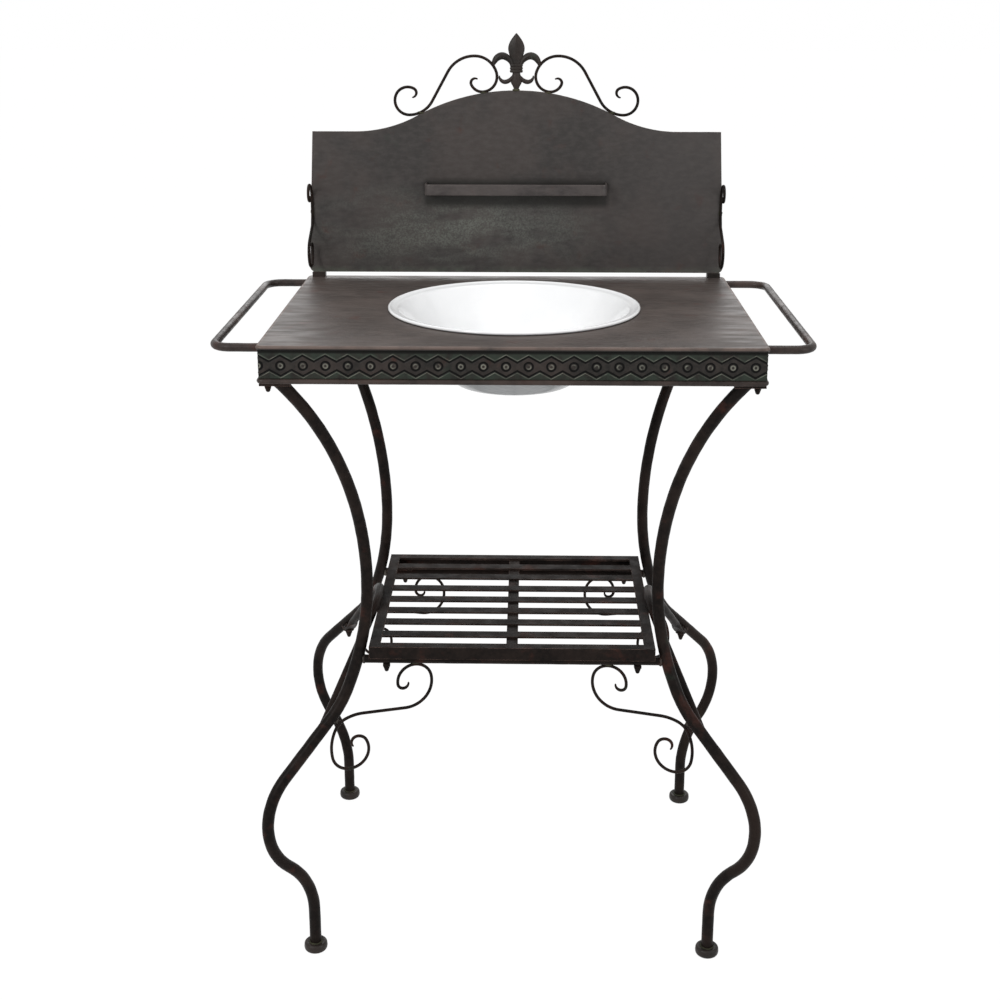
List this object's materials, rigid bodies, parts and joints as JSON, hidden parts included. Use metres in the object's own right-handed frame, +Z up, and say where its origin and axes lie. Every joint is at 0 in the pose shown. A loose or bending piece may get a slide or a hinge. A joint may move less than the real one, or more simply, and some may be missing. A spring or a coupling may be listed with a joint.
{
  "type": "wash basin stand",
  "caption": "Wrought-iron wash stand with a sheet-iron top, lift-out enamel basin, splash plate with scroll crest, towel handles, slatted shelf and S-curved legs.",
  "frame": {"origin": "on the floor, under the middle of the top between its side and front and back edges", "axes": "+X to the right and +Y to the back when standing in front of the stand, +Z up; the splash plate is at +Y"},
  "size_m": [0.7814, 0.5172, 1.2691],
  "materials": {
    "iron_bar": "waxed dark wrought iron, satin, red-brown at the edges",
    "top_sheet": "waxed sheet iron, satin, warm grey-brown, brushed across",
    "splash_sheet": "waxed sheet iron, satin, dark grey with faint red-brown blotches",
    "frieze": "embossed strip, dark with green patina in the recesses",
    "moulding": "half-worn dark iron, red-brown at the edges",
    "casting": "cast iron, dark, with green and red-brown patina",
    "flat_bar": "flat iron bar, satin, grey-brown",
    "plates": "hidden plates, dark",
    "fasteners": "dark bolts and dome nuts",
    "enamel": "glossy white enamel over steel"
  },
  "bodies": {
    "stand": {"tray_top": "top_sheet", "frieze_front": "frieze", "frieze_back": "frieze", "frieze_left": "frieze", "frieze_right": "frieze", "bead_front": "moulding", "bead_back": "moulding", "bead_left": "moulding", "bead_right": "moulding", "leg_front_left": "iron_bar", "leg_front_right": "iron_bar", "leg_rear_left": "iron_bar", "leg_rear_right": "iron_bar", "foot_front_left": "casting", "foot_front_right": "casting", "foot_rear_left": "casting", "foot_rear_right": "casting", "leg_plate_front_left": "plates", "leg_plate_front_right": "plates", "leg_plate_rear_left": "plates", "leg_plate_rear_right": "plates", "corner_lug_front_left": "plates", "corner_lug_front_right": "plates", "corner_lug_rear_left": "plates", "corner_lug_rear_right": "plates", "top_bolts": "fasteners", "top_dome_nuts": "fasteners", "rail_front": "iron_bar", "rail_rear": "iron_bar", "shelf_frame": "flat_bar", "shelf_slats": "flat_bar", "shelf_strap": "flat_bar", "shelf_bolts": "fasteners", "shelf_dome_nuts": "fasteners", "arch_left": "iron_bar", "arch_right": "iron_bar", "arch_tab_left": "iron_bar", "arch_tab_right": "iron_bar", "arch_bolts": "fasteners", "arch_dome_nuts": "fasteners", "bracket_front_left": "iron_bar", "bracket_front_right": "iron_bar", "bracket_rear_left": "iron_bar", "bracket_rear_right": "iron_bar", "handle_left": "iron_bar", "handle_right": "iron_bar", "splash_plate": "splash_sheet", "splash_pad_left": "splash_sheet", "splash_pad_right": "splash_sheet", "ledge_bar": "flat_bar", "side_scroll_left": "iron_bar", "side_scroll_right": "iron_bar", "crest_scroll_left": "iron_bar", "crest_scroll_right": "iron_bar", "fleur_de_lis": "casting"},
    "basin": {"enamel_basin": "enamel"}
  },
  "joints": [
    {"name": "basin_lift", "type": "slide", "parent": "stand", "child": "basin", "axis": [0, 0, 1], "range_m": [0, 0.16]}
  ]
}
